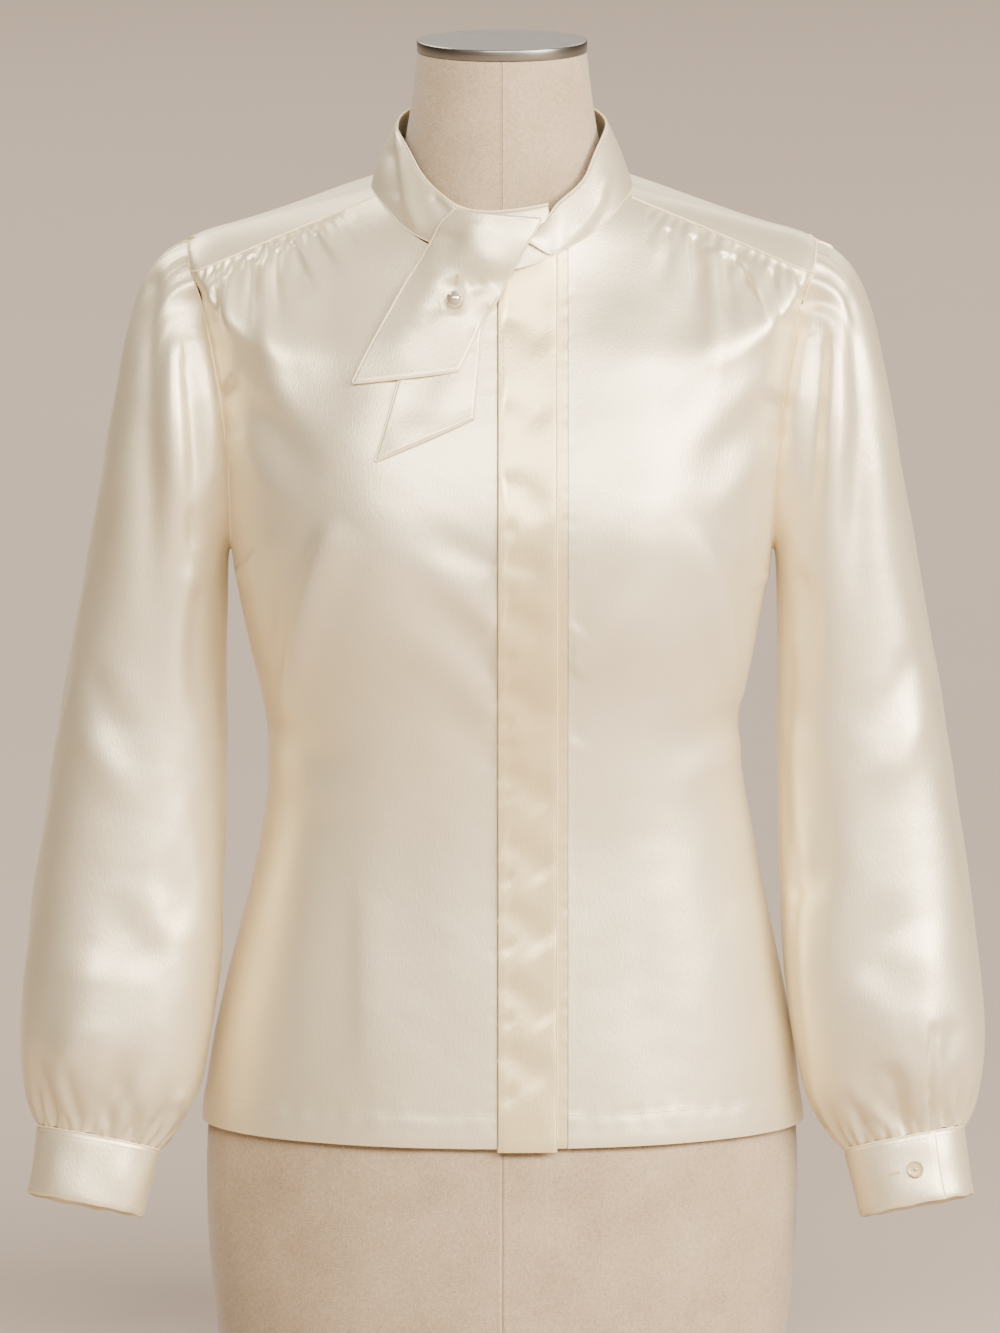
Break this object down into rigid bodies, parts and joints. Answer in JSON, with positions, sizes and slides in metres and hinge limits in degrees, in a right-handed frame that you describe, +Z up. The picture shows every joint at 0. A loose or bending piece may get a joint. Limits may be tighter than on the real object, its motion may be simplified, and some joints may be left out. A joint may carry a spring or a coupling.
{
  "type": "blouse on a dress form",
  "caption": "Long-sleeved satin blouse with a tied band collar, fly placket, gathered yoke and buttoned cuffs, worn by a limbless dress form that stands on its flat foot",
  "frame": {"origin": "centre of the dress form's flat foot, on the surface it stands on", "axes": "+Z up through the neck, the blouse's front faces -Y, the wearer's left is +X"},
  "size_m": [0.618, 0.2635, 0.856],
  "materials": {
    "satin": "ivory satin with a soft sheen",
    "pearl": "pearl lustre",
    "button": "glossy cream",
    "form_cover": "plain linen weave, matt",
    "cap_metal": "fine circular brushing"
  },
  "bodies": {
    "root": {"front_right": "satin", "front_left": "satin", "placket": "satin", "button_band": "satin", "back": "satin", "yoke": "satin", "collar_band": "satin", "tie_upper": "satin", "tie_under": "satin", "sleeve_right": "satin", "sleeve_left": "satin", "cuff_right": "satin", "cuff_left": "satin", "pearl": "pearl", "cuff_button_right": "button", "cuff_button_left": "button", "dress_form": "form_cover", "neck_cap": "cap_metal"}
  },
  "joints": []
}
